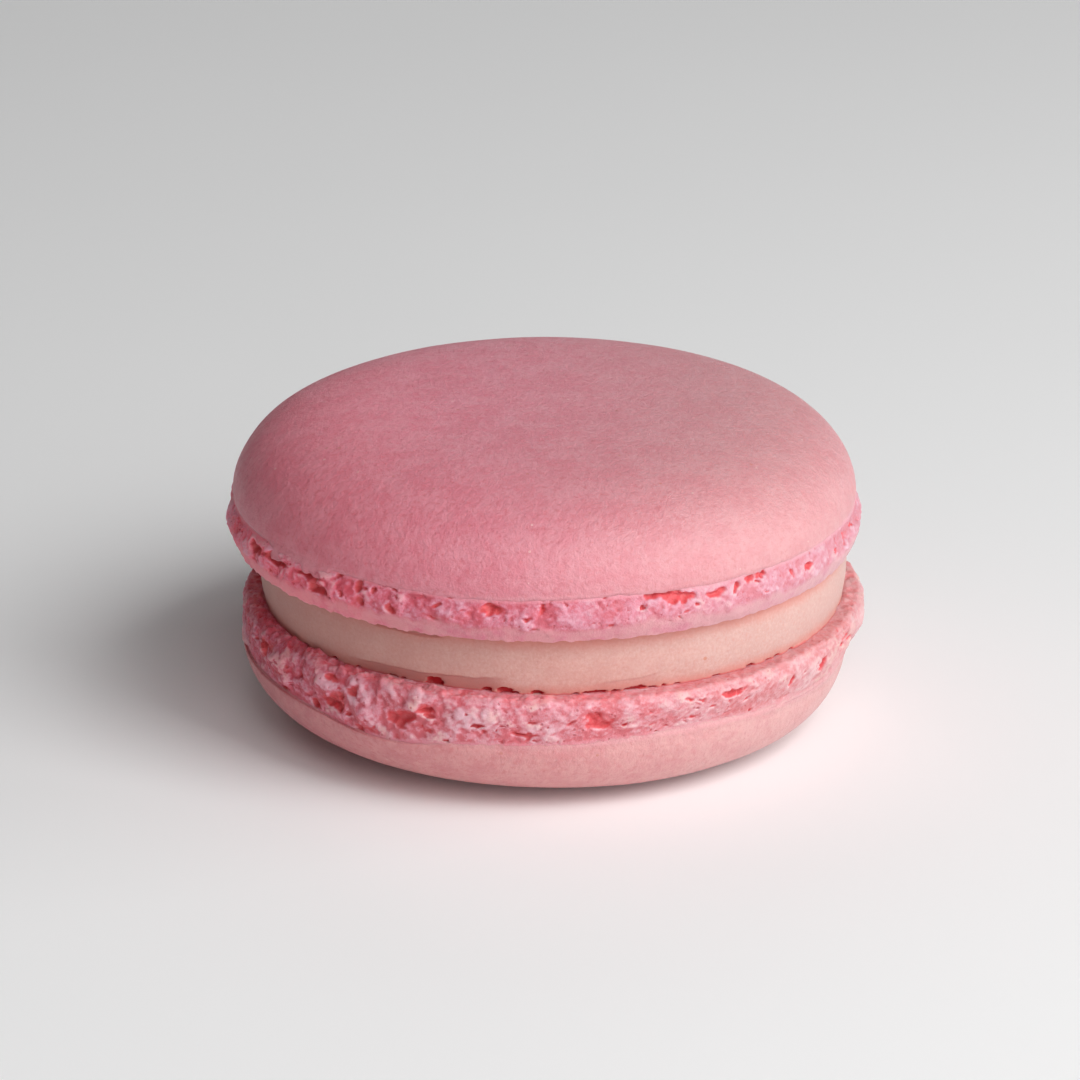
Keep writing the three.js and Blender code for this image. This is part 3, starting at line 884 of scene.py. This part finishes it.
def cream_finish(name):
    """Matte cream: beige pink with a dusty grain, cooler on the right with painted light and redder on the
    left with painted shade, browner with painted shade where it is set back and along both shells, red where
    it meets the bottom one, dark red painted shade in the gaps, and a few brown marks."""
    f = Finish(name)
    place = f.place()
    x = f.along(place, "X")
    gap, above = f.attribute("gap"), f.attribute("above")
    base = f.mix(f.step(f.noise(place, 2.5, 4.0, 0.6), 0.35, 0.65), CREAM_BEIGE, CREAM_LIGHT)
    # Painted light: paler and cooler towards the lit right.
    base = f.mix(0.7 * f.step(x, 0, 18 * MM), base, CREAM_LIT_RIGHT)
    dust = f.noise(place, 0.22, 3.0, 0.65)
    base = f.mix(0.5 * f.step(dust, 0.45, 0.75), base, CREAM_DARK_DUST)
    base = f.mix(0.4 * f.step(dust, 0.5, 0.25), base, CREAM_PALE_DUST)
    # Painted shade: redder along the bottom shell.
    low = f.step(above + 0.12 * f.noise(place, 1.0, 3.0) - 0.06, 0.2, 0.0)
    base = f.mix(0.55 * low, base, CREAM_LOW_SHADE)
    # Painted shadow: redder and browner just under the top shell's foot.
    high = f.step(above + 0.1 * f.noise(place, 1.5, 3.0) - 0.05, 0.62, 0.92)
    base = f.mix(0.7 * high, base, CREAM_UNDER_FOOT_SHADOW)
    # Painted shade: redder towards the shaded left.
    base = f.mix(0.5 * f.step(x, 0, -20 * MM), base, CREAM_SHADED_LEFT)
    # Painted shade: browner where the cream is set back.
    base = f.mix(0.8 * f.attribute("smear"), base, SMEAR_SHADE_BROWN)
    contact = f.step(above + 0.05 * f.noise(place, 0.5, 3.0), 0.065, 0.03)
    base = f.mix(0.8 * contact, base, CONTACT_RED)
    # Painted shade: the gaps are painted dark red, with a red rim.
    base = f.mix(f.step(gap, 0.05, 0.35), base, GAP_SHADE_EDGE)
    base = f.mix(f.step(gap, 0.3, 0.75), base, GAP_SHADE_RED)
    marks = f.step(f.cells(place, 2.6), 0.07, 0.04) * f.step(f.noise(place, 5.0, 2.0), 0.45, 0.55)
    base = f.mix(0.6 * marks, base, MARK_BROWN)
    return f.finished({
        "Base Color": base, "Roughness": 0.55, "Normal": f.bump(dust, 0.03),
        "Subsurface Weight": 0.3, "Subsurface Radius": (1.0, 0.6, 0.45), "Subsurface Scale": 0.001,
    })


def table_finish(name):
    """A plain pale table with the faintest cloud in its white."""
    f = Finish(name)
    cloud = f.noise(f.place(), 60, 2.0)
    base = f.mix(cloud, colour(0.90, 0.90, 0.90), colour(0.92, 0.92, 0.92))
    return f.finished({"Base Color": base, "Roughness": 0.9})


# ---------------------------------------------------------------------------------------------
# The pieces in place
# ---------------------------------------------------------------------------------------------

def dress(piece, node, finish):
    """Puts a piece on the macaron in place of a solid."""
    piece.data.materials.append(finish)
    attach(piece, "root")
    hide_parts(node)


# The blush, warm, right and left colours below are partly painted light, paler on the right where the key
# light falls, and painted shade, deeper on the left.
pink_crust = crust_finish(
    "pink_meringue_crust",
    deep=colour(0.645, 0.16, 0.203), usual=colour(0.705, 0.208, 0.267), pale=colour(0.74, 0.268, 0.328),
    blush_and_lit_side=colour(0.62, 0.26, 0.28),
    right=colour(0.90, 1.18, 1.05), left=colour(1.10, 0.95, 0.96), back=colour(1.04, 1.02, 1.05))
salmon_crust = crust_finish(
    "salmon_meringue_crust",
    deep=colour(0.65, 0.20, 0.213), usual=colour(0.69, 0.265, 0.277), pale=colour(0.745, 0.34, 0.34),
    blush_and_lit_side=colour(0.62, 0.31, 0.31),
    right=colour(0.93, 1.11, 1.08), left=colour(0.99, 0.85, 0.89), back=colour(1.0, 1.0, 1.0))
bottom_crumb = crumb_finish(
    "bottom_meringue_crumb",
    coral=colour(0.70, 0.15, 0.185), pink=colour(0.755, 0.30, 0.36), pale=colour(0.795, 0.475, 0.54),
    beige=colour(0.81, 0.49, 0.48), band=colour(0.71, 0.33, 0.36), warm_lit_side=colour(0.62, 0.29, 0.30),
    right=colour(0.88, 0.99, 0.92), left=colour(0.86, 0.42, 0.54))
top_crumb = crumb_finish(
    "top_meringue_crumb",
    coral=colour(0.64, 0.115, 0.16), pink=colour(0.675, 0.20, 0.275), pale=colour(0.73, 0.365, 0.455),
    beige=colour(0.74, 0.37, 0.40), band=colour(0.71, 0.30, 0.332), warm_lit_side=colour(0.59, 0.29, 0.34),
    right=colour(0.92, 1.16, 1.10), left=colour(1.34, 0.90, 0.97))
dress(crust_piece(BOTTOM_SHELL, "bottom_crust"), "bottom_shell", salmon_crust)
dress(foot_piece(BOTTOM_SHELL, "bottom_foot"), "bottom_shell", bottom_crumb)
dress(cream_piece("cream"), "filling", cream_finish("smooth_cream"))
dress(foot_piece(TOP_SHELL, "top_foot"), "top_shell", top_crumb)
dress(crust_piece(TOP_SHELL, "top_crust"), "top_shell", pink_crust)


# ---------------------------------------------------------------------------------------------
# Table, lights and camera
# ---------------------------------------------------------------------------------------------

TABLE_HALF = 2500.0
corners = [(x * TABLE_HALF * MM, y * TABLE_HALF * MM, 0) for x, y in ((-1, -1), (1, -1), (1, 1), (-1, 1))]
table_mesh = bpy.data.meshes.new("table")
table_mesh.from_pydata(corners, [], [(0, 1, 2, 3)])
table = bpy.data.objects.new("table", table_mesh)
bpy.context.scene.collection.objects.link(table)
table_mesh.materials.append(table_finish("pale_table"))


# The soft boxes: how far off they are, their side, the height that they face, and each one's azimuth,
# elevation and watts. A tall window of light is in front and to the right, and two weak ones are behind.
LIGHT_DISTANCE = 600.0
LIGHT_SIDE = 340.0
LIGHT_AIM = 12.0
SOFT_BOXES = [
    (-75, 15, 0.69), (KEY_AZIMUTH, 15, 1.0), (5, 15, 1.03), (-75, 45, 0.77), (KEY_AZIMUTH, 45, 2.25),
    (90, 25, 0.25), (140, 40, 0.2),
]


def soft_light(name, azimuth, elevation, watts):
    """A square soft box that faces the macaron from a direction in degrees."""
    a, e = np.radians(azimuth), np.radians(elevation)
    towards = Vector((np.cos(e) * np.cos(a), np.cos(e) * np.sin(a), np.sin(e)))
    lamp = bpy.data.lights.new(name, "AREA")
    lamp.shape = "SQUARE"
    lamp.size = LIGHT_SIDE * MM
    lamp.energy = watts
    box = bpy.data.objects.new(name, lamp)
    box.location = towards * LIGHT_DISTANCE * MM + Vector((0, 0, LIGHT_AIM * MM))
    box.rotation_euler = towards.to_track_quat("Z", "Y").to_euler()
    bpy.context.scene.collection.objects.link(box)


for number, (azimuth, elevation, watts) in enumerate(SOFT_BOXES):
    soft_light("soft_box_%d" % number, azimuth, elevation, watts)

WORLD_STRENGTH = 0.04
world = bpy.data.worlds.new("studio")
world.use_nodes = True
background = world.node_tree.nodes["Background"]
background.inputs["Color"].default_value = colour(1, 1, 1)
background.inputs["Strength"].default_value = WORLD_STRENGTH
bpy.context.scene.world = world
bpy.context.scene.view_settings.view_transform = "Standard"

CAMERA_ELEVATION = np.radians(20.99)
CAMERA_DISTANCE = 350.0
LENS = 158.1
SENSOR = 36.0
CAMERA_AIM = (-0.40, 0.62, 12.33)
aim = Vector(CAMERA_AIM) * MM
back = Vector((0, -np.cos(CAMERA_ELEVATION), np.sin(CAMERA_ELEVATION)))
camera_data = bpy.data.cameras.new("camera")
camera_data.lens = LENS
camera_data.sensor_width = SENSOR
camera_data.clip_start = 0.01
camera = bpy.data.objects.new("camera", camera_data)
camera.location = aim + back * CAMERA_DISTANCE * MM
camera.rotation_euler = back.to_track_quat("Z", "Y").to_euler()
bpy.context.scene.collection.objects.link(camera)
bpy.context.scene.camera = camera
